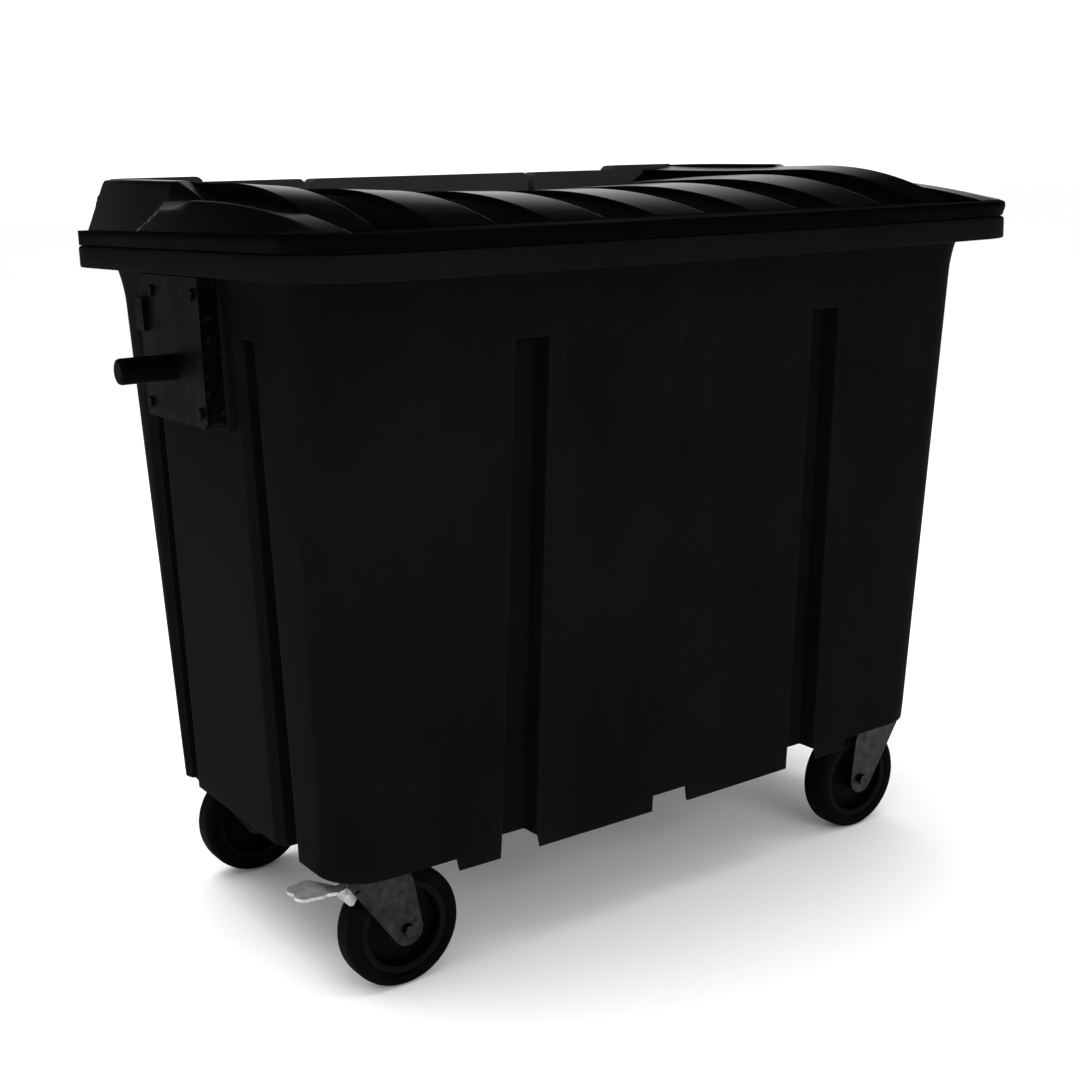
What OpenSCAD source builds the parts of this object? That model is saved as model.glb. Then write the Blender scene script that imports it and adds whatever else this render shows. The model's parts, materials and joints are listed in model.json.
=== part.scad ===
// Four-wheeled waste container of the 1000 litre class with a ribbed hinged lid.
// Millimetres. X runs left to right, the front faces -Y, Z is up.
// The origin is on the floor, below the middle of the rim's depth.

/* [Rim] */
// Width of the rim, left to right
rim_w = 1360; // [1340:5:1380]
// Depth of the rim, from the middle of the front edge to the rear edge
rim_d = 1015; // [1000:5:1030]
// How far the front edge bulges forward at its middle
rim_bow = 44; // [20:2:50]
// Corner radius of the rim
rim_r = 122; // [100:2:140]
// Height of the rim's upper face above the floor
rim_top = 1135; // [1125:1:1150]
// Height of the rim's outer band
rim_h = 36; // [30:1:45]

/* [Tub] */
// Half the width of the tub at the bottom of its walls
tub_half_bottom = 614; // [605:1:618]
// Half the width of the tub below the rim
tub_half_top = 640; // [634:1:646]
// Front wall behind Y = 0 at the bottom
front_bottom = 294; // [292:1:300]
// Front wall before Y = 0 below the rim
front_top = 374; // [360:1:380]
// Rear wall at the bottom
rear_bottom = 356; // [355:1:362]
// Rear wall below the rim
rear_top = 391; // [380:1:395]
// Wall thickness
wall = 5; // [4.5:0.5:6]
// Underside of the tub's floor, where the caster plates are bolted
floor_under = 238; // [236:1:240]
// Bottom edge of the skirt between the casters
skirt_main = 184; // [182:1:188]
// Bottom edge of the skirt round the casters
skirt_corner = 204.5; // [204.5:0.5:208]

/* [Lid] */
// Height of the lid's skirt
lid_skirt = 25; // [20:1:30]
// Rise of the middle band above the lid's ledge, at its crown
crown_rise = 42; // [36:1:50]
// Extra rise of the lid towards its two ends
saddle = 27; // [10:1:30]
// Depth of the channels between the bands
channel_drop = 10; // [8:1:12]
// Distance between channels
channel_pitch = 192; // [188:1:196]
// Width of a channel
channel_w = 92; // [80:2:94]

/* [Hinge] */
// Distance of the hinge axis behind the origin
hinge_y = 428; // [426:1:430]
// Height of the hinge axis
hinge_z = 1200; // [1199:1:1204]
// Radius of the hinge rod
rod_r = 6; // [5:0.5:7]

/* [Trunnions] */
// Distance of the trunnions behind the origin
trunnion_y = 42; // [38:1:44]
// Height of the trunnions
trunnion_z = 960; // [955:1:970]
// Radius of a trunnion
trunnion_r = 20; // [18:1:22]
// Distance from the middle to a trunnion's end
trunnion_tip = 761; // [740:1:770]

/* [Casters] */
// Wheel radius
wheel_r = 98; // [96:1:98]
// Distance of the swivel axes from the middle, left and right
caster_x = 534; // [530:1:536]
// Swivel axes of the front casters, before the origin
caster_front = 236; // [232:1:237]
// Swivel axes of the rear casters, behind the origin
caster_rear = 304; // [298:1:304]
// Distance from a swivel axis to its wheel's axle
trail = 42; // [38:1:44]

/* [Hidden] */
CORNERS = ["front_left", "front_right", "rear_left", "rear_right"];
SIDES = ["left", "right"];
CASTER_PIECES = ["caster_plate", "swivel_race", "king_bolt", "fork",
    "axle_bolt", "wheel_bush", "wheel_rim", "tyre"];

$fn = 64;
over = 1;
black = [0.07, 0.07, 0.075];
zinc = [0.62, 0.64, 0.66];

rim_low = rim_top - rim_h;
rim_half = rim_w / 2;
rim_front = rim_d / 2 - rim_bow;
rim_rear = rim_d / 2;
floor_top = floor_under + wall;

lid_gap = 1;
lid_low = rim_top + lid_gap;
ledge_z = rim_top + lid_skirt;
lid_rear = 408;
lid_wall = 4.5;

channel_x = 303;
channel_half = 32;
channel_depth = 36;
// Each side channel is open from the first to the second Y, and its chamfer ends at the third
side_channels_low = [[-150, -91, -67], [243, 287, 306]];
side_channels_high = [[-172, -123, -108], [203, 249, 272]];
side_chamfer = 8;

pad_in = 626;
bracket_in = 645;
bracket_out = 674;
bracket_low = 876;
bracket_front = trunnion_y - 118;
bracket_rear = trunnion_y + 118;

running = 0.08;

// ---------------------------------------------------------------- outlines

function arc(cx, cy, r, from, to, n = 10) =
    [for (i = [0:n]) [cx + r * cos(from + (to - from) * i / n), cy + r * sin(from + (to - from) * i / n)]];

function between(a, b, n) = [for (i = [1:n - 1]) a + (b - a) * i / n];

// A rounded rectangle from -half to half and from -front to rear, with extra points along its front
function rounded_box(half, front, rear, r, n) = concat(
    arc(-half + r, -front + r, r, 180, 270, n),
    between([-half + r, -front], [half - r, -front], 12),
    arc(half - r, -front + r, r, 270, 360, n),
    arc(half - r, rear - r, r, 0, 90, n),
    arc(-half + r, rear - r, r, 90, 180, n));

// The same outline with its front edge bulging forward
function bulged(half, front, rear, r, bow, n = 8) =
    [for (p = rounded_box(half, front, rear, r, n))
        [p.x, p.y - bow * (1 - pow(p.x / half, 2)) * min(1, max(0, -p.y / front))]];

function rim_outline(inset = 0) =
    bulged(rim_half - inset, rim_front - inset, rim_rear - inset, rim_r - inset, rim_bow);

function mix(a, b, t) = a + (b - a) * t;
function rise(z) = (z - skirt_main) / (rim_low - skirt_main);
function wall_half(z) = mix(tub_half_bottom, tub_half_top, rise(z));
function wall_front(z) = mix(front_bottom, front_top, rise(z));
function wall_rear(z) = mix(rear_bottom, rear_top, rise(z));
function wall_bow(z) = mix(10, 4, rise(z));

// The walls flare outwards just below the rim
flare = 8;
flare_steps = [for (i = [0:5]) [rim_low - 60 + 12 * i, flare * pow(i / 5, 2)]];

function tub_outline(z, spread, inset) = bulged(
    wall_half(z) + spread - inset, wall_front(z) + spread - inset, wall_rear(z) + spread - inset,
    mix(75, 88, rise(z)) + spread - inset, wall_bow(z));

// ---------------------------------------------------------------- lofts

// A closed solid through outlines of equal length, one at each height
module loft(heights, outlines) {
    n = len(outlines[0]);
    top = len(heights) - 1;
    polyhedron(
        points = [for (k = [0:top]) for (p = outlines[k]) [p.x, p.y, heights[k]]],
        faces = concat(
            [[for (i = [0:n - 1]) i]],
            [for (k = [0:top - 1]) for (i = [0:n - 1])
                [k * n + i, (k + 1) * n + i, (k + 1) * n + (i + 1) % n]],
            [for (k = [0:top - 1]) for (i = [0:n - 1])
                [k * n + i, (k + 1) * n + (i + 1) % n, k * n + (i + 1) % n]],
            [[for (i = [n - 1:-1:0]) top * n + i]]));
}

module walls(low, inset, top = over) {
    steps = concat([[low, 0]], flare_steps, [[rim_low + top, flare]]);
    loft([for (s = steps) s[0]], [for (s = steps) tub_outline(s[0], s[1], inset)]);
}

// ---------------------------------------------------------------- tub

channel_top = 1000;
far = 650;

function rectangle(x0, x1, y0, y1) = [[x0, y0], [x1, y0], [x1, y1], [x0, y1]];

// Two upright channels in the front wall and two in the rear wall, nearer together at the top
module wall_channels(grow) {
    levels = [skirt_main - 30, channel_top + grow];
    half = [channel_half + grow, channel_half + grow - 3];
    for (side = [-1, 1]) {
        x = [side * channel_x, side * (channel_x - 12)];
        front = [for (z = levels) -wall_front(z) + channel_depth - 8 + grow];
        rear = [for (z = levels) wall_rear(z) - channel_depth - grow];
        loft(levels, [for (i = [0:1]) rectangle(x[i] - half[i], x[i] + half[i], -far, front[i])]);
        loft(levels, [for (i = [0:1]) rectangle(x[i] - half[i], x[i] + half[i], rear[i], far)]);
    }
}

// A side channel in plan at one height: square at its front edge, chamfered at its rear edge
function side_channel(z, y, grow) = [
    [900, y[0] - grow],
    [900, y[2] + grow],
    [wall_half(z) + 1, y[2] + grow],
    [wall_half(z) - side_chamfer - grow, y[1] + grow],
    [wall_half(z) - channel_depth - grow, y[1] + grow],
    [wall_half(z) - channel_depth - grow, y[0] - grow]];

module side_channels(grow) {
    levels = [skirt_main - 30, channel_top + 10 + grow];
    for (side = [-1, 1], k = [0, 1])
        scale([side, 1, 1]) loft(levels, [
            side_channel(levels[0], side_channels_low[k], grow),
            side_channel(levels[1], side_channels_high[k], grow)]);
}

module channels(grow) {
    wall_channels(grow);
    side_channels(grow);
}

// Everything inside the walls, from one height to another
module hollow(low, high) {
    intersection() {
        difference() {
            walls(skirt_main - 40, wall, 2 * over);
            channels(wall);
        }
        translate([-far * 2, -far, low]) cube([far * 4, far * 2, high - low]);
    }
}

// The turned-down flange round the top of the tub
module rim() {
    neck = tub_outline(rim_low, flare, 0);
    difference() {
        translate([0, 0, rim_low]) linear_extrude(rim_h) polygon(rim_outline());
        difference() {
            translate([0, 0, rim_low - over]) linear_extrude(rim_h - 6 + over) polygon(rim_outline(6));
            translate([0, 0, rim_low - 2 * over]) linear_extrude(rim_h) polygon(neck);
        }
        translate([0, 0, rim_low - 2 * over])
            linear_extrude(rim_h + 4 * over) polygon(tub_outline(rim_low, flare, wall));
    }
}

// Flat pads that carry the trunnion brackets, thickened inwards
module trunnion_pads() {
    deep = bracket_rear - bracket_front + 12;
    for (side = [-1, 1])
        scale([side, 1, 1]) translate([pad_in, bracket_front - 6, 0]) {
            translate([0, 0, bracket_low - 6]) cube([bracket_in - pad_in, deep, rim_low - bracket_low + 7]);
            translate([0, 0, rim_low]) cube([36, deep, rim_h - 4]);
        }
}

// The skirt ends higher round the casters, under the channels and at the middle
module skirt_cuts() {
    low = skirt_main - 20;
    for (side = [-1, 1])
        scale([side, 1, 1]) {
            translate([414, -far, low]) cube([300, 2 * far, skirt_corner - low]);
            translate([channel_x - channel_half - 1, -far, low])
                cube([2 * channel_half + 2, 2 * far, skirt_corner - low]);
        }
    translate([-37, -far, low]) cube([74, 2 * far, 211 - low]);
}

module tub() {
    color(black) difference() {
        union() {
            difference() {
                walls(skirt_main, 0);
                hollow(floor_top, rim_low + 3 * over);
                hollow(skirt_main - 20, floor_under);
                channels(0);
            }
            rim();
            trunnion_pads();
        }
        for (side = [-1, 1])
            scale([side, 1, 1])
                translate([bracket_in, bracket_front - 6, bracket_low - 6])
                    cube([60, bracket_rear - bracket_front + 12, rim_low - bracket_low + 6]);
        skirt_cuts();
        each_trunnion_bolt() translate([0, 0, -60]) cylinder(h = 80, r = trunnion_bolt_r + 0.2);
        each_hinge_bolt() translate([0, 0, -20]) cylinder(h = 40, r = hinge_bolt_r + 0.2);
        each_caster_bolt() translate([0, 0, -20]) cylinder(h = 40, r = caster_bolt_r + 0.2);
    }
}

// ---------------------------------------------------------------- lid

function lid_outline(inset = 0) = rim_outline(2 + inset);

dome_front = -355;
crown_y = -20;
band_half = (channel_pitch - channel_w) / 2;
flank = 600;

// Height of the dome above the ledge along Y, for a strip that rises by top at its crown
function dome_z(y, top, fall) = y < crown_y
    ? top * (1 - pow((crown_y - y) / (crown_y - dome_front), 2.2))
    : top - fall * pow((y - crown_y) / (lid_rear - crown_y), 2);

function band_top(x) = crown_rise + saddle * pow(x / flank, 2);

// A strip of the dome from x0 to x1, lowered by drop; the hollow below it is lowered by inset too
module strip(x0, x1, drop, inset, fall = 12) {
    top = band_top((x0 + x1) / 2) - drop;
    low = inset > 0 ? -lid_wall - over : -lid_wall;
    first = dome_front + inset;
    last = lid_rear - inset;
    edge = [for (i = [0:18]) let (y = first + (last - first) * pow(i / 18, 1.2))
        [y, max(inset > 0 ? low + 0.1 : 0, dome_z(y, top, fall) - inset)]];
    translate([x0, 0, ledge_z]) rotate([90, 0, 90]) linear_extrude(x1 - x0)
        polygon(concat([[last, low], [first, low]], edge));
}

module dome(inset) {
    for (k = [-2:2])
        strip(k * channel_pitch - band_half + inset, k * channel_pitch + band_half - inset, 0, inset);
    for (k = [-3:2])
        strip(k * channel_pitch + band_half - inset, (k + 1) * channel_pitch - band_half + inset,
            channel_drop, inset);
    for (side = [-1, 1]) {
        inner = side * (3 * channel_pitch - band_half + inset);
        outer = side * (flank - inset);
        strip(min(inner, outer), max(inner, outer), 0, inset, -10);
    }
}

shelf_top = 46;
shelf_front = -425;
shelf_rear = 92;
shelf_out = 676;
shelf_ridge = 653;
block_from = -8;
block_full = 92;
block_low = 73;
block_top = 81;
block_out = 660;
block_ridge = 625;

function ease(t) = let (u = min(1, max(0, t))) u * u * (3 - 2 * u);

function shelf_z(y) =
    shelf_top * (1 - pow(max(0, shelf_rear - y) / (shelf_rear - shelf_front), 2.6));

// One section of a lid end: a low shelf beside the outer band, growing into a full-height block at the rear
function end_section(y, inset, low) =
    let (
        t = ease((y - block_from) / (block_full - block_from)),
        out = mix(shelf_out, block_out, t) - inset * 1.2,
        crest = mix(block_low, block_top, ease((y - block_from) / (lid_rear - block_from))),
        z = max(low + 0.5, mix(shelf_z(y), crest, t) - inset))
    [[flank - 2 + inset, low], [out, low], [out - 3 * t, low + (z - low) * mix(0.55, 0.25, t)],
        [mix(shelf_ridge, block_ridge, t) - inset, z], [flank - 2 + inset, z]];

module lid_ends(inset) {
    low = inset > 0 ? -lid_wall - over : -lid_wall;
    first = shelf_front + inset;
    last = lid_rear - inset;
    stations = [for (i = [26:-1:0]) first + (last - first) * i / 26];
    for (side = [-1, 1])
        scale([side, 1, 1]) translate([0, 0, ledge_z]) rotate([90, 0, 0])
            loft([for (y = stations) -y], [for (y = stations) end_section(y, inset, low)]);
}

module lid() {
    color(black) difference() {
        union() {
            difference() {
                translate([0, 0, lid_low]) linear_extrude(ledge_z - lid_low) polygon(lid_outline());
                intersection() {
                    translate([0, 0, lid_low - over])
                        linear_extrude(ledge_z - lid_low - lid_wall + over) polygon(lid_outline(lid_wall));
                    translate([-far * 2, -far, 0]) cube([far * 4, far + lid_rear - lid_wall, 2 * rim_top]);
                }
            }
            dome(0);
            intersection() {
                lid_ends(0);
                translate([0, 0, lid_low]) linear_extrude(200) polygon(lid_outline());
            }
        }
        dome(lid_wall);
        intersection() {
            lid_ends(lid_wall);
            translate([0, 0, lid_low]) linear_extrude(200) polygon(lid_outline(lid_wall));
        }
        translate([-far * 2, lid_rear, lid_low - over]) cube([far * 4, far, 200]);
    }
}

// ---------------------------------------------------------------- hinge

gap_x = 244;
gap_half = 8;
bar_end = 610;
bar_half_y = 20;
bar_low = hinge_z - 26;
bar_high = hinge_z + 34;
knob_x = 447;

function rounded_rect(x0, x1, y0, y1, r) = concat(
    arc(x0 + r, y0 + r, r, 180, 270, 5), arc(x1 - r, y0 + r, r, 270, 360, 5),
    arc(x1 - r, y1 - r, r, 0, 90, 5), arc(x0 + r, y1 - r, r, 90, 180, 5));

// A hinge bar seen from the front is a plate with rounded ends
module bar(x0, x1) {
    translate([0, hinge_y + bar_half_y, 0]) rotate([90, 0, 0])
        linear_extrude(hinge_y + bar_half_y - lid_rear)
            polygon(rounded_rect(x0, x1, bar_low, bar_high, 12));
}

module rod_bore(r) {
    translate([-bar_end - 60, hinge_y, hinge_z]) rotate([0, 90, 0]) cylinder(h = 2 * bar_end + 120, r = r);
}

module outer_bar(side) {
    color([0.16, 0.16, 0.165]) difference() {
        scale([side, 1, 1]) union() {
            bar(gap_x + gap_half, bar_end);
            translate([0, hinge_y + bar_half_y + 2, 0]) rotate([90, 0, 0])
                linear_extrude(hinge_y + bar_half_y + 2 - lid_rear)
                    polygon(rounded_rect(knob_x, bar_end, bar_low, bar_high + 9, 15));
        }
        rod_bore(rod_r + running);
    }
}

module hinge_bar_left() outer_bar(-1);

module hinge_bar_right() outer_bar(1);

module hinge_bar_middle() {
    color([0.16, 0.16, 0.165]) difference() {
        bar(-gap_x + gap_half, gap_x - gap_half);
        rod_bore(rod_r + running);
    }
}

rod_half = bar_end + 24;

module hinge_rod() {
    color(zinc) translate([-rod_half, hinge_y, hinge_z]) rotate([0, 90, 0])
        cylinder(h = 2 * rod_half, r = rod_r);
}

bracket_x = [-bar_end - 12, -gap_x, gap_x, bar_end + 12];
lug_half = 6.5;
foot_x = 24;
foot_h = 5;
hinge_bolt_r = 4;

// The two hinge bolts of each bracket stand behind its axis
module each_hinge_bolt() {
    for (x = bracket_x, along = [-1, 1])
        translate([x + along * 15, hinge_y + 30, rim_top + foot_h]) children();
}

module hinge_bracket(x) {
    color(black) difference() {
        union() {
            translate([x - lug_half, 0, 0]) rotate([90, 0, 90]) linear_extrude(2 * lug_half)
                polygon(concat([[hinge_y + 17, rim_top]], arc(hinge_y, hinge_z, 17, 0, 180, 14),
                    [[hinge_y - 14, rim_top]]));
            translate([x - foot_x, hinge_y - 14, rim_top]) cube([2 * foot_x, 54, foot_h]);
        }
        translate([x - 40, hinge_y, hinge_z]) rotate([0, 90, 0]) cylinder(h = 80, r = rod_r + 0.02);
        each_hinge_bolt() translate([0, 0, -20]) cylinder(h = 40, r = hinge_bolt_r + 0.2);
    }
}

module hex_head(r, h) cylinder(h = h, r = r, $fn = 6);

module hinge_bolts() {
    color(zinc) each_hinge_bolt() {
        translate([0, 0, -foot_h - 20]) cylinder(h = foot_h + 20, r = hinge_bolt_r);
        hex_head(7, 5);
    }
}

// ---------------------------------------------------------------- trunnions

trunnion_bolt_r = 5;
pin_seat = 14;
seat_r = 14;

// Runs its child at each bracket bolt, with +Z pointing out of the tub's side
module each_trunnion_bolt() {
    for (side = [-1, 1], spot = [[-98, -62], [98, -62], [-98, 112], [60, 112]])
        translate([side * bracket_out, trunnion_y + spot[0], trunnion_z + spot[1]])
            rotate([0, side * 90, 0]) children();
}

module trunnion_bracket(side) {
    thick = bracket_out - bracket_in;
    color(black) difference() {
        scale([side, 1, 1]) union() {
            translate([bracket_in, 0, 0]) rotate([90, 0, 90]) linear_extrude(thick)
                polygon([[bracket_front, bracket_low + 8], [bracket_front + 14, bracket_low],
                    [bracket_rear, bracket_low], [bracket_rear, rim_low - 2],
                    [bracket_front, rim_low - 2]]);
            translate([bracket_out - over, bracket_rear - 32, trunnion_z + 50]) cube([9, 32, 50]);
        }
        scale([side, 1, 1])
            translate([bracket_out - pin_seat, trunnion_y, trunnion_z]) rotate([0, 90, 0])
                cylinder(h = 60, r = seat_r);
        each_trunnion_bolt() translate([0, 0, -60]) cylinder(h = 80, r = trunnion_bolt_r + 0.2);
    }
}

module trunnion_pin(side) {
    reach = trunnion_tip - bracket_out + pin_seat;
    color(black) scale([side, 1, 1])
        translate([bracket_out - pin_seat, trunnion_y, trunnion_z]) rotate([0, 90, 0])
            rotate_extrude() polygon([[0, 0], [seat_r, 0], [seat_r, pin_seat],
                [trunnion_r, pin_seat], [trunnion_r, reach - 5], [trunnion_r - 1.5, reach - 1.5],
                [trunnion_r - 5, reach], [0, reach]]);
}

module trunnion_bolts() {
    color(black) each_trunnion_bolt() {
        translate([0, 0, pad_in - 3 - bracket_out])
            cylinder(h = bracket_out - pad_in + 3, r = trunnion_bolt_r);
        hex_head(9, 5);
    }
}

// ---------------------------------------------------------------- casters

function corner_x(corner) = corner == "front_left" || corner == "rear_left" ? -1 : 1;

function corner_y(corner) =
    corner == "front_left" || corner == "front_right" ? -caster_front : caster_rear;

// Puts a child drawn for a left caster, with its wheel towards +X, at a corner of the tub
module at_caster(corner) {
    translate([corner_x(corner) * caster_x, corner_y(corner), 0])
        scale([-corner_x(corner), 1, 1]) children();
}

plate_x = 40;
plate_y = 44;
plate_h = 4;
hole_x = 28;
hole_y = 32;
caster_bolt_r = 5;
king_r = 6;
head_low = 226;
neck_top = 219;
crown_top = skirt_corner - 1.5;
crown_h = 4;
leg_in = 30;
leg_h = 3;
axle_r = 6;
hub_r = 26;

module each_caster_bolt() {
    for (corner = CORNERS, x = [-hole_x, hole_x], y = [-hole_y, hole_y])
        at_caster(corner) translate([x, y, floor_under - plate_h]) children();
}

module caster_plate(corner) {
    color(zinc) at_caster(corner) difference() {
        union() {
            translate([0, 0, floor_under - plate_h]) linear_extrude(plate_h)
                polygon(rounded_rect(-plate_x, plate_x, -plate_y, plate_y, 16));
            translate([0, 0, head_low]) cylinder(h = floor_under - plate_h - head_low, r = 32);
        }
        translate([0, 0, 200]) cylinder(h = 60, r = king_r);
        for (x = [-hole_x, hole_x], y = [-hole_y, hole_y])
            translate([x, y, 220]) cylinder(h = 30, r = caster_bolt_r + 0.2);
    }
}

module swivel_race(corner) {
    color([0.45, 0.46, 0.48]) at_caster(corner) translate([0, 0, neck_top + 0.5]) difference() {
        cylinder(h = head_low - neck_top - 0.5, r = 30);
        translate([0, 0, -over]) cylinder(h = 20, r = 20);
    }
}

module king_bolt(corner) {
    color(zinc) at_caster(corner) {
        low = crown_top - crown_h - 0.5;
        translate([0, 0, low]) cylinder(h = floor_under - low, r = king_r);
        translate([0, 0, low - 5]) hex_head(9, 5);
    }
}

// One leg of the fork, drawn in X and Z
function leg_profile() = concat([[46, crown_top], [-48, crown_top], [-55, crown_top - 8]],
    arc(trail, wheel_r, hub_r, 215, 375, 14), [[56, crown_top - 26]]);

module fork(corner) {
    color(zinc) at_caster(corner) difference() {
        union() {
            translate([-46, -leg_in - leg_h, crown_top - crown_h])
                cube([92, 2 * (leg_in + leg_h), crown_h]);
            translate([0, 0, crown_top - over]) cylinder(h = neck_top - crown_top + over, r = 32);
            for (y = [-leg_in, leg_in + leg_h])
                translate([0, y, 0]) rotate([90, 0, 0]) linear_extrude(leg_h) polygon(leg_profile());
        }
        translate([0, 0, crown_top - 10]) cylinder(h = 40, r = king_r + running);
        translate([trail, 0, wheel_r]) rotate([90, 0, 0]) cylinder(h = 100, r = axle_r, center = true);
        if (corner == brake_corner)
            translate([pedal_x, 0, pedal_z]) rotate([90, 0, 0])
                cylinder(h = 100, r = pedal_pin_r, center = true);
    }
}

module axle_bolt(corner) {
    half = leg_in + leg_h;
    color(zinc) at_caster(corner) translate([trail, 0, wheel_r]) rotate([90, 0, 0]) {
        cylinder(h = 2 * half, r = axle_r, center = true);
        translate([0, 0, half]) hex_head(10, 8);
        translate([0, 0, -half - 10]) hex_head(10, 10);
    }
}

// Runs its child round a wheel's axle, drawn as radius and distance along the axle
module on_axle(corner) {
    at_caster(corner) translate([trail, 0, wheel_r]) rotate([90, 0, 0]) children();
}

module wheel_bush(corner) {
    color([0.45, 0.46, 0.48]) on_axle(corner) difference() {
        cylinder(h = 58, r = 10, center = true);
        cylinder(h = 80, r = axle_r + running, center = true);
    }
}

tyre_in = 74;

module wheel_rim(corner) {
    color(black) on_axle(corner) rotate_extrude()
        polygon([[10, -28], [20, -28], [24, -8], [60, -6], [64, -21], [tyre_in, -22],
            [tyre_in, 22], [64, 21], [60, 6], [24, 8], [20, 28], [10, 28]]);
}

module tyre(corner) {
    half = 25;
    round_r = 13;
    color(black) on_axle(corner) rotate_extrude() polygon(concat(
        [[tyre_in, half - 3], [tyre_in, -half + 3], [tyre_in + 4, -half]],
        arc(wheel_r - round_r, -half + round_r, round_r, 270, 360, 5),
        arc(wheel_r - round_r, half - round_r, round_r, 0, 90, 5), [[tyre_in + 4, half]]));
}

module caster_bolts() {
    color(zinc) each_caster_bolt() {
        cylinder(h = plate_h + wall + 11, r = caster_bolt_r);
        translate([0, 0, -7]) hex_head(9, 7);
    }
}

module caster_nuts() {
    color(zinc) each_caster_bolt() translate([0, 0, plate_h + wall]) difference() {
        hex_head(9, 8);
        translate([0, 0, -over]) cylinder(h = 12, r = caster_bolt_r);
    }
}

// ---------------------------------------------------------------- brake

pedal_x = -38;
pedal_z = 180;
pedal_pin_r = 4;
pedal_reach = 121;
pedal_side = 28;
paddle_z = 177;

// The one caster that has a brake
brake_corner = "front_left";

module pedal_pin() {
    color(zinc) at_caster(brake_corner) translate([pedal_x, 0, pedal_z]) rotate([90, 0, 0]) {
        cylinder(h = 2 * (leg_in + leg_h), r = pedal_pin_r, center = true);
        for (end = [-1, 1])
            translate([0, 0, end * (leg_in + leg_h + 1.5)]) cylinder(h = 3, r = 6, center = true);
    }
}

// A foot lever with a lobed paddle outside the fork and a shoe that swings towards the tyre
module brake_pedal() {
    color([0.75, 0.76, 0.78]) at_caster(brake_corner) difference() {
        union() {
            translate([pedal_x, 0, pedal_z]) rotate([90, 0, 0]) cylinder(h = 44, r = 9, center = true);
            translate([0, 11, 0]) rotate([90, 0, 0]) linear_extrude(22)
                polygon([[pedal_x, pedal_z + 8], [pedal_x, pedal_z - 8], [-62, paddle_z],
                    [-62, paddle_z + 5]]);
            translate([0, 0, paddle_z]) linear_extrude(5) polygon(concat(
                [[-52, -11]], arc(-86, pedal_side - 15, 18, 300, 240, 5),
                arc(-pedal_reach + 18, pedal_side - 12, 18, 250, 170, 6),
                [[-pedal_reach + 5, pedal_side]],
                arc(-pedal_reach + 18, pedal_side + 12, 18, 190, 110, 6),
                arc(-86, pedal_side + 15, 18, 120, 60, 5), [[-52, 11]]));
            translate([0, 20, 0]) rotate([90, 0, 0]) linear_extrude(40)
                polygon([[pedal_x - 9, pedal_z - 2], [pedal_x - 11, pedal_z - 20],
                    [pedal_x - 4.4, pedal_z - 21], [pedal_x + 7, pedal_z - 5]]);
        }
        translate([pedal_x, 0, pedal_z]) rotate([90, 0, 0])
            cylinder(h = 80, r = pedal_pin_r + running, center = true);
    }
}

// ---------------------------------------------------------------- nodes

tub();
lid();
hinge_bar_left();
hinge_bar_middle();
hinge_bar_right();
hinge_rod();
for (i = [0:3]) {
    hinge_bracket(bracket_x[i]);
}
hinge_bolts();
trunnion_bolts();
caster_bolts();
caster_nuts();
brake_pedal();
pedal_pin();
for (i = [0:1]) {
    side = 2 * i - 1;
    trunnion_bracket(side);
    trunnion_pin(side);
}
for (corner = CORNERS) {
    caster_plate(corner);
    swivel_race(corner);
    king_bolt(corner);
    fork(corner);
    axle_bolt(corner);
    wheel_bush(corner);
    wheel_rim(corner);
    tyre(corner);
}
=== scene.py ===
"""Looks for a four-wheeled waste container with a banded, rear-hinged lid. Metres, in the CAD frame."""

import json
import math

import bmesh
import bpy
from mathutils import Matrix, Vector


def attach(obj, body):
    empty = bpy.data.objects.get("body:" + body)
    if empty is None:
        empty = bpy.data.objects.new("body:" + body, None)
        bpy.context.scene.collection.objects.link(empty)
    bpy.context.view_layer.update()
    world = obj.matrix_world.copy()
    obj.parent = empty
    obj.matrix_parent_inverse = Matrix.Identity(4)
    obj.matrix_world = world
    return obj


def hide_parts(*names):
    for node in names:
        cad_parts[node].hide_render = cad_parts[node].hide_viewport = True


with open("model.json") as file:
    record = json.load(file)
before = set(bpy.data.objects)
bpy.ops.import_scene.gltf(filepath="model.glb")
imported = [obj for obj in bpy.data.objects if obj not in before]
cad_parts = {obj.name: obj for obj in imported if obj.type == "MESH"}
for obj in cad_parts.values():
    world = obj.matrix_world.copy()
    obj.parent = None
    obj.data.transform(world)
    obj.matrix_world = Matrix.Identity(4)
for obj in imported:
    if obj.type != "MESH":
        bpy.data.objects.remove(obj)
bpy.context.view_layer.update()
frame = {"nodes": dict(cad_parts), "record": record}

MM = 0.001

# Tub, in millimetres, as in the CAD; pairs hold the value at the bottom of the wall and below the rim
TUB_HALF, TUB_FRONT, TUB_REAR, TUB_R, TUB_BOW = (614, 640), (294, 374), (356, 391), (75, 88), (10, 4)
CHANNEL_X, CHANNEL_HALF = (303, 291), (32, 29)
RIM_HALF, RIM_FRONT, RIM_REAR, RIM_R, RIM_BOW = 680, 463.5, 507.5, 122, 44
RIM_LOW, RIM_TOP, RIM_PLATE = 1099, 1135, 6
SKIRT_MAIN, SKIRT_CORNER, SKIRT_NOTCH = 184, 204.5, 211
SKIRT_HALF, SKIRT_GAP, NOTCH_HALF = 414.3, 33.5, 37.2
FLOOR_UNDER, FLOOR_TOP = 238, 243
FLARE = 8
WALL = 5
CHANNEL_TOP = 1000
CHANNEL_DEPTH = 36
SIDE_CHANNELS_LOW = ((-150, -91, -67), (243, 287, 306))
SIDE_CHANNELS_HIGH = ((-172, -123, -108), (203, 249, 272))
SIDE_CHAMFER = 8

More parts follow.
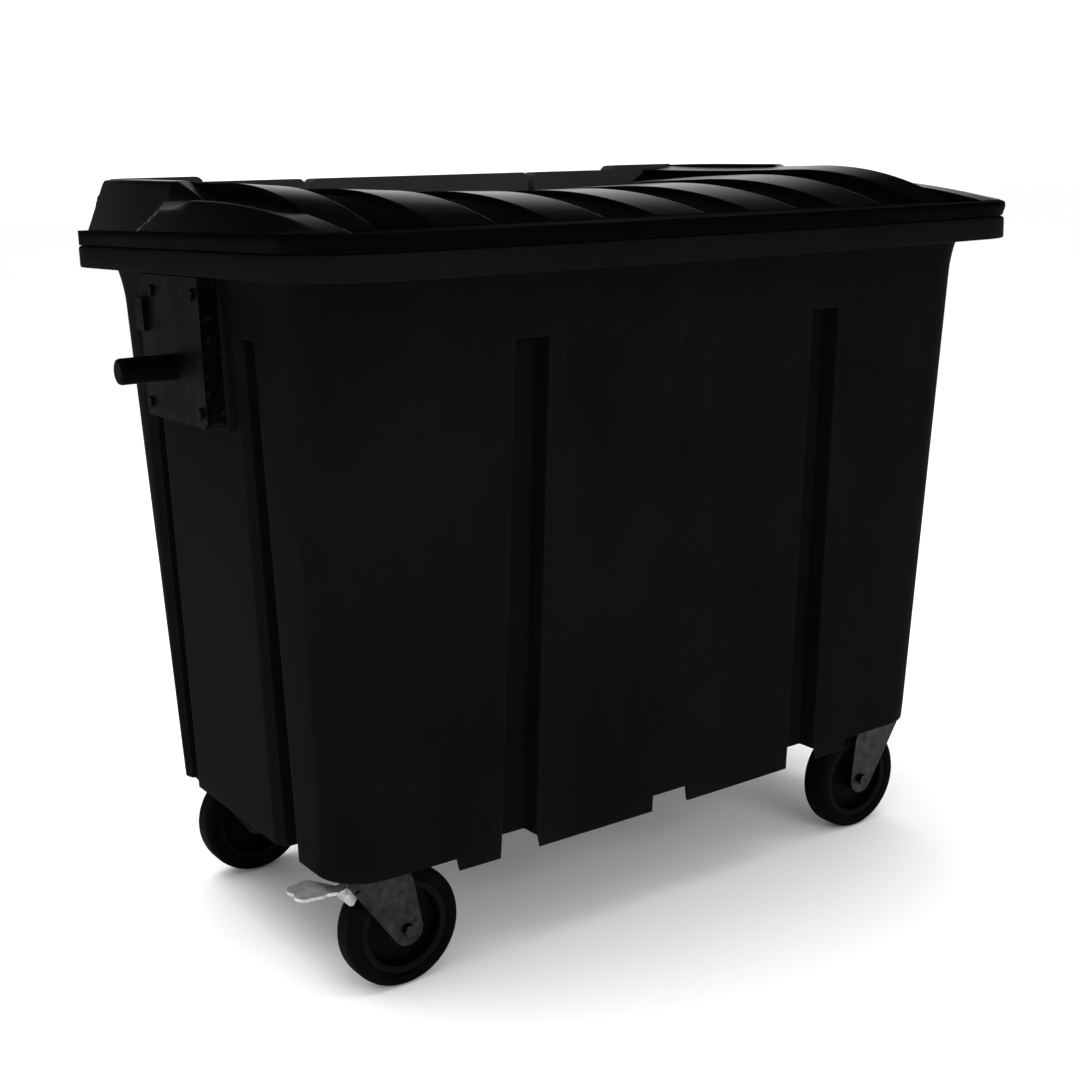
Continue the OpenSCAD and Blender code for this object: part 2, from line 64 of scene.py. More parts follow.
# Lid
LEDGE_Z, LID_REAR, LID_WALL = 1160, 408, 4.5
DOME_FRONT, CROWN_Y, FALL = -355, -20, 12
CROWN_RISE, SADDLE, CHANNEL_DROP = 42, 27, 10
PITCH, CHANNEL_W, FLANK = 192, 92, 600
BAND_HALF = (PITCH - CHANNEL_W) / 2
SHELF_TOP, SHELF_FRONT, SHELF_REAR, SHELF_OUT, SHELF_EDGE = 46, -425, 92, 676, 641
BLOCK_FRONT, BLOCK_LOW, BLOCK_TOP, BLOCK_OUT, BLOCK_EDGE = -8, 73, 81, 660, 625


# ---------------------------------------------------------------- helpers


def mix(a, b, t):
    return a + (b - a) * t


def smooth(t):
    t = min(1, max(0, t))
    return t * t * (3 - 2 * t)


def mesh_piece(name, verts, faces, body, material, replaced=(), sharp=32):
    """A smooth-shaded mesh in millimetres, riding on a CAD body."""
    mesh = bpy.data.meshes.new(name)
    mesh.from_pydata([(x * MM, y * MM, z * MM) for x, y, z in verts], [], faces)
    mesh.validate()
    obj = bpy.data.objects.new(name, mesh)
    bpy.context.scene.collection.objects.link(obj)
    bm = bmesh.new()
    bm.from_mesh(mesh)
    bmesh.ops.remove_doubles(bm, verts=bm.verts, dist=1e-5)
    bmesh.ops.recalc_face_normals(bm, faces=bm.faces)
    bm.to_mesh(mesh)
    bm.free()
    mesh.polygons.foreach_set("use_smooth", [True] * len(mesh.polygons))
    mesh.set_sharp_from_angle(angle=math.radians(sharp))
    mesh.materials.append(material)
    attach(obj, body)
    if replaced:
        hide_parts(*replaced)
    return obj


def skin(rows, close=True):
    """Quads between rows of equal length; each row may close on itself."""
    verts = [p for row in rows for p in row]
    n = len(rows[0])
    faces = []
    for k in range(len(rows) - 1):
        for i in range(n if close else n - 1):
            j = (i + 1) % n
            faces.append((k * n + i, k * n + j, (k + 1) * n + j, (k + 1) * n + i))
    return verts, faces


def arc(cx, cy, r, start, end, n):
    steps = [math.radians(start + (end - start) * i / n) for i in range(n + 1)]
    return [(cx + r * math.cos(a), cy + r * math.sin(a)) for a in steps]


# ---------------------------------------------------------------- materials


class Shader:
    """A small helper for building one procedural material."""

    def __init__(self, name, color, roughness, metallic=0.0, **sockets):
        self.mat = bpy.data.materials.new(name)
        self.mat.use_nodes = True
        self.tree = self.mat.node_tree
        self.bsdf = self.tree.nodes["Principled BSDF"]
        self.bsdf.inputs["Base Color"].default_value = (*color, 1)
        self.bsdf.inputs["Roughness"].default_value = roughness
        self.bsdf.inputs["Metallic"].default_value = metallic
        for key, value in sockets.items():
            self.bsdf.inputs[key.replace("_", " ")].default_value = value
        self.coords = self.tree.nodes.new("ShaderNodeTexCoord").outputs["Object"]

    def link(self, a, b):
        self.tree.links.new(a, b)

    def stretched(self, scale):
        node = self.tree.nodes.new("ShaderNodeMapping")
        node.inputs["Scale"].default_value = scale
        self.link(self.coords, node.inputs["Vector"])
        return node.outputs["Vector"]

    def noise(self, scale, detail=4.0, rough=0.55, vector=None):
        node = self.tree.nodes.new("ShaderNodeTexNoise")
        node.inputs["Scale"].default_value = scale
        node.inputs["Detail"].default_value = detail
        node.inputs["Roughness"].default_value = rough
        self.link(vector or self.coords, node.inputs["Vector"])
        return node.outputs["Fac"]

    def cells(self, scale, feature="F1", vector=None, output="Distance"):
        node = self.tree.nodes.new("ShaderNodeTexVoronoi")
        node.feature = feature
        node.inputs["Scale"].default_value = scale
        self.link(vector or self.coords, node.inputs["Vector"])
        return node.outputs[output]

    def ranged(self, value, low, high, out_low, out_high):
        node = self.tree.nodes.new("ShaderNodeMapRange")
        node.inputs["From Min"].default_value = low
        node.inputs["From Max"].default_value = high
        node.inputs["To Min"].default_value = out_low
        node.inputs["To Max"].default_value = out_high
        self.link(value, node.inputs["Value"])
        return node.outputs["Result"]

    def ramp(self, value, *stops):
        node = self.tree.nodes.new("ShaderNodeValToRGB")
        while len(node.color_ramp.elements) < len(stops):
            node.color_ramp.elements.new(0.5)
        for element, (at, color) in zip(node.color_ramp.elements, stops):
            element.position = at
            element.color = (*color, 1)
        self.link(value, node.inputs["Fac"])
        return node.outputs["Color"]

    def math(self, operation, a, b):
        node = self.tree.nodes.new("ShaderNodeMath")
        node.operation = operation
        for socket, value in zip(node.inputs, (a, b)):
            if isinstance(value, (int, float)):
                socket.default_value = value
            else:
                self.link(value, socket)
        return node.outputs["Value"]

    def blend(self, factor, a, b):
        node = self.tree.nodes.new("ShaderNodeMix")
        node.data_type = "RGBA"
        self.link(factor, node.inputs["Factor"])
        for name, value in (("A", a), ("B", b)):
            socket = next(s for s in node.inputs if s.name == name and s.type == "RGBA")
            if isinstance(value, tuple):
                socket.default_value = (*value, 1)
            else:
                self.link(value, socket)
        return next(s for s in node.outputs if s.type == "RGBA")

    def edges(self, low=0.52, high=0.62):
        """Near 1 on convex edges, where handling wears the surface."""
        node = self.tree.nodes.new("ShaderNodeNewGeometry")
        return self.ranged(node.outputs["Pointiness"], low, high, 0, 1)

    def color(self, value):
        self.link(value, self.bsdf.inputs["Base Color"])

    def roughness(self, value):
        self.link(value, self.bsdf.inputs["Roughness"])

    def bump(self, height, strength, distance):
        node = self.tree.nodes.new("ShaderNodeBump")
        node.inputs["Strength"].default_value = strength
        node.inputs["Distance"].default_value = distance
        self.link(height, node.inputs["Height"])
        previous = self.bsdf.inputs["Normal"].links
        if previous:
            self.link(previous[0].from_socket, node.inputs["Normal"])
        self.link(node.outputs["Normal"], self.bsdf.inputs["Normal"])


def moulded(name, dark, light, rough_low, rough_high, grain=0.25, scuffs=0.5, gloss=0.1):
    """Moulded polyethylene: fine leathery grain, cloudy gloss, faint vertical rubs and pale worn edges."""
    s = Shader(name, dark, rough_low, Specular_IOR_Level=gloss)
    clouds = s.noise(3.2, 5)
    flow = s.noise(9.0, 6, 0.6, s.stretched((1.0, 1.0, 0.22)))
    rubs = s.ranged(s.noise(60.0, 8, 0.7, s.stretched((1.6, 1.6, 0.12))), 0.60, 0.75, 0, scuffs)
    mottle = s.math("ADD", s.math("MULTIPLY", clouds, 0.6), s.math("MULTIPLY", flow, 0.4))
    tone = s.ramp(mottle, (0.3, dark), (0.72, light))
    worn = tuple(min(1, c * 2.2 + 0.006) for c in light)
    rubbed = s.blend(s.math("MULTIPLY", rubs, 0.35), tone, worn)
    s.color(s.blend(s.math("MULTIPLY", s.edges(), 0.35), rubbed, worn))
    cloudy = s.ranged(clouds, 0.3, 0.7, rough_low, rough_high)
    s.roughness(s.math("ADD", cloudy, s.math("MULTIPLY", rubs, 0.12)))
    s.bump(s.cells(420.0), grain, 0.0002)
    s.bump(flow, 0.12, 0.0015)
    return s.mat


def painted(name, color, rough):
    """Sprayed paint on steel: orange peel, dust in the gloss and bare metal showing on some edges."""
    s = Shader(name, color, rough, Specular_IOR_Level=0.03)
    dust = s.noise(14.0, 6, 0.65)
    chips = s.math("MULTIPLY", s.edges(0.56, 0.66), s.ranged(s.noise(90.0, 5), 0.55, 0.68, 0, 1))
    tone = s.ramp(dust, (0.3, color), (0.8, tuple(c * 1.7 for c in color)))
    s.color(s.blend(s.math("MULTIPLY", chips, 0.3), tone, (0.02, 0.02, 0.021)))
    s.roughness(s.ranged(dust, 0.3, 0.75, rough - 0.08, rough + 0.12))
    s.bump(s.noise(260.0, 3), 0.15, 0.0003)
    return s.mat


def zinc(name, low, high, rough, metal=1.0):
    """Zinc-plated sheet: spangle flakes, grey bloom in patches and darker handling marks."""
    s = Shader(name, low, rough, metal)
    spangle = s.cells(95.0, output="Color")
    flakes = s.noise(38.0, 5, 0.6)
    bloom = s.ranged(s.noise(11.0, 6, 0.65), 0.42, 0.72, 0, 1)
    bw = s.tree.nodes.new("ShaderNodeRGBToBW")
    s.link(spangle, bw.inputs["Color"])
    mottle = s.math("ADD", s.math("MULTIPLY", bw.outputs["Val"], 0.45), s.math("MULTIPLY", flakes, 0.55))
    tone = s.ramp(mottle, (0.25, low), (0.75, high))
    s.color(s.blend(s.math("MULTIPLY", bloom, 0.45), tone, tuple(c * 0.62 for c in low)))
    flaky = s.ranged(flakes, 0.3, 0.7, rough - 0.08, rough + 0.1)
    s.roughness(s.math("ADD", flaky, s.math("MULTIPLY", bloom, 0.15)))
    s.bump(s.noise(150.0, 4, 0.6), 0.12, 0.0004)
    return s.mat


def rubber(name, color):
    """Solid rubber: powdery bloom, fine grit and dusty tread."""
    s = Shader(name, color, 0.8, Specular_IOR_Level=0.03)
    bloom = s.noise(22.0, 6, 0.7)
    grit = s.noise(520.0, 3, 0.6)
    s.color(s.ramp(bloom, (0.35, color), (0.8, tuple(c * 2.0 + 0.002 for c in color))))
    s.roughness(s.ranged(bloom, 0.3, 0.7, 0.68, 0.9))
    s.bump(grit, 0.3, 0.0003)
    return s.mat


BODY = moulded("moulded black", (0.0024, 0.0024, 0.0026), (0.0042, 0.0042, 0.0044), 0.5, 0.6, gloss=0.004)
LID = moulded("moulded lid", (0.0007, 0.0007, 0.0008), (0.0014, 0.0014, 0.0015), 0.12, 0.2,
              grain=0.05, scuffs=0.2, gloss=0.3)
# Duller finish for the lid's recesses, ledge and skirt; its darker colour is painted shade in the channels
# and on the scooped walls.
LID_CHANNEL_SHADE = moulded("moulded lid channel painted shade", (0.0003, 0.0003, 0.0004), (0.0008, 0.0008, 0.0009), 0.6, 0.75,
                      grain=0.2, scuffs=0.15, gloss=0.01)
GREY = moulded("moulded grey", (0.010, 0.010, 0.0105), (0.016, 0.016, 0.0165), 0.45, 0.58, gloss=0.1)
PAINT = painted("black paint", (0.0004, 0.0004, 0.0005), 0.6)
WHEEL = moulded("wheel polypropylene", (0.0004, 0.0004, 0.0005), (0.0010, 0.0010, 0.0011), 0.5, 0.65,
                scuffs=0.25, gloss=0.04)
ZINC = zinc("dark zinc plate", (0.014, 0.0143, 0.0148), (0.042, 0.0425, 0.0435), 0.34)
BRIGHT = zinc("bright plate", (0.30, 0.303, 0.31), (0.52, 0.523, 0.53), 0.3, metal=0.6)
TYRE = rubber("tyre rubber", (0.0005, 0.0005, 0.0006))
SLOT_MATERIAL = {
    "moulded_black": BODY, "moulded_grey": GREY, "black_paint": PAINT, "zinc_steel": ZINC,
    "bright_steel": BRIGHT, "wheel_black": WHEEL, "tyre_rubber": TYRE,
}


# ---------------------------------------------------------------- tub


def rise(z):
    return (z - SKIRT_MAIN) / (RIM_LOW - SKIRT_MAIN)


def flare(z):
    return FLARE * min(1, max(0, (z - RIM_LOW + 60) / 60)) ** 2


def tub_size(z, inset):
    """Half width, front, rear, corner radius and bow of the wall at one height."""
    out = flare(z) - inset
    t = min(1, rise(z))
    half, front, rear, r = [mix(*pair, t) + out for pair in (TUB_HALF, TUB_FRONT, TUB_REAR, TUB_R)]
    return half, front, rear, r, mix(*TUB_BOW, t)


def rim_size(inset):
    return RIM_HALF - inset, RIM_FRONT - inset, RIM_REAR - inset, RIM_R - inset, RIM_BOW


def channel_steps(half, depth):
    """Offsets across a channel with rounded edges, as (sideways, inward)."""
    r = min(4.0, depth / 2)
    k = 0.3 * r
    left = [(-half - 9, 0), (-half - 4, 0), (-half - 1.2, k), (-half, r), (-half, depth - r),
            (-half + 1.2, depth - k), (-half + 4, depth)]
    return left + [(0, depth)] + [(-a, d) for a, d in reversed(left)]


def chamfered_steps(y, depth, grow):
    """Offsets across a side channel, whose rear edge is chamfered, as (Y, inward)."""
    r = min(4.0, depth / 2)
    k = 0.3 * r
    start, end, last = y[0] - grow, y[1] + grow, y[2] + grow
    c = SIDE_CHAMFER * depth / CHANNEL_DEPTH
    first = [(start - 9, 0), (start - 4, 0), (start - 1.2, k), (start, r), (start, depth - r)]
    base = [(start + 1.2, depth - k), (start + 4, depth), ((start + end) / 2, depth), (end - 4, depth)]
    second = [(end - 1.2, depth - k), (end, depth - r), (end, c + min(3, r))]
    second += [(end + 0.6, c), (end + 3, c * 0.92)]
    chamfer = [(mix(end, last, 0.5), c * 0.5), (last - 3, c * 0.1), (last + 1, 0), (last + 8, 0)]
    return first + base + second + chamfer


def side_channel_at(k, z):
    """The three Y values of side channel k at one height."""
    t = (z - SKIRT_MAIN + 30) / (CHANNEL_TOP + 10 - SKIRT_MAIN + 30)
    return [mix(a, b, t) for a, b in zip(SIDE_CHANNELS_LOW[k], SIDE_CHANNELS_HIGH[k])]


def tub_row(z, inset, size=None):
    """One closed row round the tub, counter-clockwise from its front left corner."""
    half, front, rear, r, bow = size or tub_size(z, inset)
    t_half, t_front, t_rear, t_r, _ = tub_size(z, inset)
    depth = CHANNEL_DEPTH * (1 - smooth((z - CHANNEL_TOP - inset + 7) / 7))
    side_depth = CHANNEL_DEPTH * (1 - smooth((z - CHANNEL_TOP - 10 - inset + 7) / 7))
    lean = min(1, max(0, (z - SKIRT_MAIN) / (CHANNEL_TOP - SKIRT_MAIN)))
    x_c = mix(*CHANNEL_X, lean)
    x_h = mix(*CHANNEL_HALF, lean) + inset
    wide = t_half - t_r
    sx = (half - r) / wide

    def bowed(x, y):
        return y - bow * (1 - (x / half) ** 2) * min(1, max(0, -y / front))

    def side_point(y, d):
        """A point on the side: along the straight stretch, then into the rear corner's arc."""
        straight = t_rear - t_r
        if y <= straight:
            u = (y + t_front - t_r) / (straight + t_front - t_r)
            return half - d, mix(-front + r, rear - r, u)
        a = math.asin(min(0.95, (y - straight) / t_r))
        return half - r + (r - d) * math.cos(a), rear - r + (r - d) * math.sin(a)

    steps = channel_steps(x_h, max(depth, 0.01))
    across = [(-wide * 0.995, 0)] + [(-x, 0) for x in (460, 416, 412.5, 380)]
    across += [(-x_c + a, d) for a, d in steps]
    across += [(x, 0) for x in (-200, -110, -38.5, -36, 0, 36, 38.5, 110, 200)]
    across += [(x_c + a, d) for a, d in steps]
    across += [(x, 0) for x in (380, 412.5, 416, 460)] + [(wide * 0.995, 0)]
    front_channel, rear_channel = [
        chamfered_steps(side_channel_at(k, z), max(side_depth, 0.01), inset) for k in (0, 1)]
    along = front_channel + [(-40, 0), (42, 0), (120, 0)] + rear_channel
    last = along[-1][0]
    turn = math.degrees(math.asin(min(0.95, max(0, last - t_rear + t_r) / t_r))) + 3

    row = [(x, bowed(x, y)) for x, y in arc(-half + r, -front + r, r, 180, 270, 10)]
    row += [(x * sx, bowed(x * sx, -front) + d) for x, d in across]
    row += [(x, bowed(x, y)) for x, y in arc(half - r, -front + r, r, 270, 360, 10)]
    row += [side_point(y, d) for y, d in along]
    row += arc(half - r, rear - r, r, turn, 90, 10)
    row += [(x * sx, rear - d) for x, d in reversed(across)]
    row += arc(-half + r, rear - r, r, 90, 180 - turn, 10)
    row += [(-x, y) for x, y in (side_point(y, d) for y, d in reversed(along))]
    return row


def skirt_bottom(x, y):
    """Height of the skirt's lower edge at a place on the wall."""
    ax = abs(x)
    if abs(y) < 270 or ax > SKIRT_HALF:
        return SKIRT_CORNER
    if ax < NOTCH_HALF:
        return SKIRT_NOTCH
    return SKIRT_CORNER if abs(ax - CHANNEL_X[0]) < SKIRT_GAP else SKIRT_MAIN


def at(row, z):
    return [(x, y, z) for x, y in row]


def build_tub():
    low = tub_row(SKIRT_MAIN, 0)
    bottom = [skirt_bottom(x, y) for x, y in low]
    straight = [FLOOR_UNDER + (CHANNEL_TOP - 16 - FLOOR_UNDER) * i / 9 for i in range(10)]
    tops = [CHANNEL_TOP - 12 + 1.75 * i for i in range(17)]
    flares = [RIM_LOW - 60 + 6 * i for i in range(11)]
    levels = straight + tops + flares

    def skirt_row(inset, lift):
        rows = tub_row(SKIRT_MAIN + 14, inset)
        return [(x, y, b + lift) for (x, y), b in zip(rows, bottom)]

    rows = [at(tub_row(FLOOR_UNDER, WALL), FLOOR_UNDER)]
    hem = ((WALL, 1.6), (WALL - 1.5, 0), (1.5, 0), (0.4, 0.5), (0, 1.6))
    rows += [skirt_row(inset, lift) for inset, lift in hem]
    rows += [at(tub_row(z, 0), z) for z in levels]
    neck_z = RIM_TOP - RIM_PLATE
    rows += [at(tub_row(RIM_LOW, 0), z) for z in (RIM_LOW + 12, neck_z - 3)]
    rows.append(at(tub_row(RIM_LOW, -3), neck_z))
    turned_in = ((9, neck_z), (6, neck_z - 3), (6, RIM_LOW + 2), (4.5, RIM_LOW))
    turned_out = ((2.2, RIM_LOW), (0.6, RIM_LOW + 0.8), (0, RIM_LOW + 2.6))
    rows += [at(tub_row(RIM_LOW, 0, rim_size(inset)), z) for inset, z in turned_in + turned_out]
    edge = 6.0
    for i in range(6):
        a = math.radians(18 * i)
        inset, z = edge * (1 - math.cos(a)), RIM_TOP - edge + edge * math.sin(a)
        rows.append(at(tub_row(RIM_LOW, 0, rim_size(inset)), z))
    inner = 5.0
    for i in range(5):
        a = math.radians(22.5 * i)
        inset, z = WALL - inner * (1 - math.sin(a)), RIM_TOP - inner * (1 - math.cos(a))
        rows.append(at(tub_row(RIM_LOW, inset), z))
    rows += [at(tub_row(min(z, RIM_LOW), WALL), z) for z in (RIM_TOP - 20, RIM_LOW + 2)]
    rows += [at(tub_row(z, WALL), z) for z in reversed(levels) if z < RIM_LOW and z > FLOOR_TOP + 14]
    fillet = 12.0
    for i in range(5):
        a = math.radians(22.5 * i)
        inset, z = WALL + fillet * (1 - math.cos(a)), FLOOR_TOP + fillet * (1 - math.sin(a))
        rows.append(at(tub_row(FLOOR_TOP + fillet, inset), z))
    verts, faces = skin(rows)
    n = len(rows[0])
    faces.append(tuple(range(n)))
    faces.append(tuple(reversed(range(len(verts) - n, len(verts)))))
    tub = mesh_piece("tub_moulding", verts, faces, "container", BODY, ("tub",), sharp=40)
    return tub


def rounded_block(name, lo, hi, radius, body, material, replaced=(), segments=3):
    """A box between two corners with rounded edges, in millimetres."""
    bm = bmesh.new()
    bmesh.ops.create_cube(bm, size=1)
    for v in bm.verts:
        v.co = Vector([(a if c < 0 else b) for a, b, c in zip(lo, hi, v.co)])
    bmesh.ops.bevel(bm, geom=bm.edges[:], offset=radius, segments=segments, profile=0.5, affect="EDGES")
    verts = [tuple(v.co) for v in bm.verts]
    faces = [tuple(v.index for v in f.verts) for f in bm.faces]
    bm.free()
    return mesh_piece(name, verts, faces, body, material, replaced)


def build_pads():
    """The thickened wall behind each trunnion bracket."""
    for side, name in ((-1, "left"), (1, "right")):
        x = sorted((side * 626, side * 645))
        low, high = (x[0], -82, 870), (x[1], 166, RIM_LOW - 1)
        rounded_block(f"trunnion_pad_{name}", low, high, 3, "container", BODY)


# ---------------------------------------------------------------- lid


def lid_front_y(x):
    """Front edge of the lid's outline at one X: 2 mm inside the rim."""
    half, front, _, r, bow = rim_size(2)
    ax = min(abs(x), half)
    y = -front
    if ax > half - r:
        y += r - math.sqrt(max(0, r * r - (ax - half + r) ** 2))
    return y - bow * (1 - (ax / half) ** 2) * min(1, max(0, -y / front))


def dome(y, top, fall):
    if y < CROWN_Y:
        return top * (1 - min(1, (CROWN_Y - y) / (CROWN_Y - DOME_FRONT)) ** 2.2)
    return top - fall * ((y - CROWN_Y) / (LID_REAR - CROWN_Y)) ** 2


def band_share(ax):
    """1 on a raised band, 0 in a channel, with a short rounded slope between."""
    if ax > 2.5 * PITCH:
        return smooth((ax - 3 * PITCH + BAND_HALF) / 5 + 0.5)
    across = abs((ax + PITCH / 2) % PITCH - PITCH / 2)
    return smooth((BAND_HALF - across) / 5 + 0.5)


def soft_min(a, b, k):
    """The smaller of two heights, rounded where they cross."""
    h = min(1, max(0, 0.5 + (b - a) / (2 * k)))
    return mix(b, a, h) - k * h * (1 - h)


def end_height(ax, y):
    """A lid end: a low shelf scooped out beside the outer band, and a full-height block behind it."""
    block = smooth((y - BLOCK_FRONT - 2.1 * max(0, ax - FLANK)) / 26)
    reach = min(1, max(0, (SHELF_REAR - y) / (SHELF_REAR - SHELF_FRONT)))
    shelf = SHELF_TOP * (1 - reach ** 2.6)
    crest = mix(BLOCK_LOW, BLOCK_TOP, smooth((y - BLOCK_FRONT) / (LID_REAR - BLOCK_FRONT)))
    low = soft_min(shelf, max(0, (SHELF_OUT - ax) / (SHELF_OUT - SHELF_EDGE)) * (shelf + 4), 5)
    high = soft_min(crest, (BLOCK_OUT - ax) / (BLOCK_OUT - BLOCK_EDGE) * crest * 1.02, 10)
    return max(0, mix(low, high, block))


def lid_height(x, y):
    ax = abs(x)
    top = CROWN_RISE + SADDLE * (min(ax, FLANK) / FLANK) ** 2
    outer = smooth((ax - 2.5 * PITCH) / 40)
    fall = mix(FALL, -10, outer)
    band = dome(y, top, fall)
    channel = dome(y, top - CHANNEL_DROP, fall)
    z = mix(channel, band, band_share(ax))
    if ax > FLANK - 6:
        z = mix(z, end_height(ax, y), smooth((ax - FLANK) / 5 + 0.5))
    return max(0, z)


def lid_columns():
    """X positions across the lid, closer together at each edge of a band and in the corners."""
    fine = (-6, -3.5, -2.4, -1.2, 0, 1.2, 2.4, 3.5, 6)
    xs = {0.0}
    for k in range(3):
        edge = k * PITCH + BAND_HALF
        xs.update(middle + d for middle in (edge, edge + CHANNEL_W) for d in fine)
        xs.update((k * PITCH + 22, edge + 30, edge + 61))
    xs.update(FLANK + d for d in fine)
    xs.update((3 * PITCH - 24, 3 * PITCH, 614))
    xs.update(609 + 3 * i for i in range(22))
    xs.update((673.6, 675, 676, 677, 678.0))
    xs = sorted(xs)
    return [-x for x in reversed(xs[1:])] + xs


def build_lid():
    xs = lid_columns()
    start = DOME_FRONT - 100

    def row(y):
        """One row across the lid, held at the front edge where that edge is further back."""
        return [(x, y if y - lid_front_y(x) > 2.5 else lid_front_y(x)) for x in xs]

    def ledge_row(t):
        """A row of the flat ledge, which only the middle of the front edge reaches."""
        fronts = [(x, lid_front_y(x)) for x in xs]
        return [(x, mix(front, start, t) if start - front > 4 else front) for x, front in fronts]

    ys = [start + 5 * i for i in range(90)]
    ys = [y for y in ys if y < 85] + [85 + 11.5 * i for i in range(1, 28)] + [LID_REAR]
    grid = [ledge_row(t) for t in (0, 0.25, 0.5, 0.75)] + [row(y) for y in ys]
    surface = [[(x, y, LEDGE_Z + lid_height(x, y)) for x, y in line] for line in grid]
    verts, faces = skin(surface, close=False)
    n, m = len(xs), len(grid)
    loop = list(range(n)) + [k * n + n - 1 for k in range(1, m)]
    loop += [(m - 1) * n + i for i in range(n - 2, -1, -1)] + [k * n for k in range(m - 2, 0, -1)]
    loop = [i for k, i in enumerate(loop) if math.dist(verts[i][:2], verts[loop[k - 1]][:2]) > 0.3]
    ends = [verts[i][:2] for i in loop]
    outward = []
    for k, (x, y) in enumerate(ends):
        (ax, ay), (bx, by) = ends[k - 1], ends[(k + 1) % len(ends)]
        length = math.hypot(bx - ax, by - ay)
        outward.append((0, 0) if y >= LID_REAR - 0.1 else ((by - ay) / length, (ax - bx) / length))
    bead = [(2.2, -0.8), (3.8, -2.6), (4.8, -6.0), (4.6, -10.0), (3.4, -14.0)]
    bead += [(2.0, -18.0), (1.2, -21.5), (0.4, -23.4), (-2.0, -24.0)]
    previous = loop
    for out, drop in bead:
        ring = []
        for (x, y), (nx, ny) in zip(ends, outward):
            ring.append(len(verts))
            verts.append((x + nx * (out - 1.2), y + ny * (out - 1.2), LEDGE_Z + drop))
        faces += [(previous[a], previous[a - 1], ring[a - 1], ring[a]) for a in range(len(ring))]
        previous = ring
    lid = mesh_piece("lid_moulding", verts, faces, "lid_assembly", LID, ("lid",), sharp=38)
    # Second slot: duller, and darker in colour; in the channels and scooped walls that darker colour is
    # painted shade.
    lid.data.materials.append(LID_CHANNEL_SHADE)
    paint_channel_shade(lid.data)
    solid = lid.modifiers.new("wall", "SOLIDIFY")
    solid.thickness = LID_WALL * MM
    solid.offset = -1
    return lid


def paint_channel_shade(mesh):
    """Gives the channels, the scooped walls, the ledge and the skirt a duller, darker finish; in the
    channels and on the scooped walls the darker colour is painted shade.
    """
    for face in mesh.polygons:
        x, y, z = face.center / MM
        ax = abs(x)
        # Faces in the channels get painted shade.
        shaded_channel = band_share(ax) < 0.9 and ax < FLANK - 10
        # Steep faces in the scoop at each end of the lid get painted shade.
        shaded_scoop_wall = FLANK - 4 < ax < FLANK + 7 and y < BLOCK_FRONT + 60 and face.normal.z < 0.75
        if shaded_channel or shaded_scoop_wall or z < LEDGE_Z + 1.2:
            face.material_index = 1


# ---------------------------------------------------------------- carried-over CAD pieces


def finish_cad_nodes():
    """Gives every CAD node that is still shown its material, softened edges and smooth shading."""
    slots = {s["node"]: s["material_slot"] for s in frame["record"]["subparts"]}
    widths = {"hinge_bar": 4.0, "trunnion_bracket": 2.0, "hinge_bracket": 1.2}
    widths.update({"brake_pedal": 1.0, "trunnion_pin": 0.8})
    for name, obj in frame["nodes"].items():
        if name in ("tub", "lid"):
            continue
        obj.data.materials.clear()
        obj.data.materials.append(ZINC if name == "pedal_pin" else SLOT_MATERIAL[slots[name]])
        width = next((w for key, w in widths.items() if name.startswith(key)), 0.6)
        bevel = obj.modifiers.new("soft edges", "BEVEL")
        bevel.width = width * MM
        bevel.segments = 3
        bevel.limit_method = "ANGLE"
        bevel.angle_limit = math.radians(35)
        bevel.harden_normals = False
        obj.data.polygons.foreach_set("use_smooth", [True] * len(obj.data.polygons))
        smooth_by = obj.modifiers.new("weighted", "WEIGHTED_NORMAL")
        smooth_by.keep_sharp = True


# ---------------------------------------------------------------- stage, light and camera


def build_stage():
    """A plain pale floor, much wider than the view."""
    s = Shader("studio floor", (0.93, 0.93, 0.93), 0.9)
    s.color(s.ramp(s.noise(0.6, 3), (0.3, (0.92, 0.92, 0.92)), (0.7, (0.94, 0.94, 0.94))))
    bm = bmesh.new()
    bmesh.ops.create_grid(bm, x_segments=8, y_segments=8, size=60)
    mesh = bpy.data.meshes.new("floor")
    bm.to_mesh(mesh)
    bm.free()
    floor = bpy.data.objects.new("floor", mesh)
    mesh.materials.append(s.mat)
    bpy.context.scene.collection.objects.link(floor)


def area_light(name, place, target, size, power):
    """A rectangular light that faces its target."""
    data = bpy.data.lights.new(name, "AREA")
    data.shape = "RECTANGLE"
    data.size, data.size_y = size
    data.energy = power
    light = bpy.data.objects.new(name, data)
    light.location = place
    light.rotation_mode = "QUATERNION"
    light.rotation_quaternion = (Vector(place) - Vector(target)).to_track_quat("Z", "Y")
    bpy.context.scene.collection.objects.link(light)
    return light


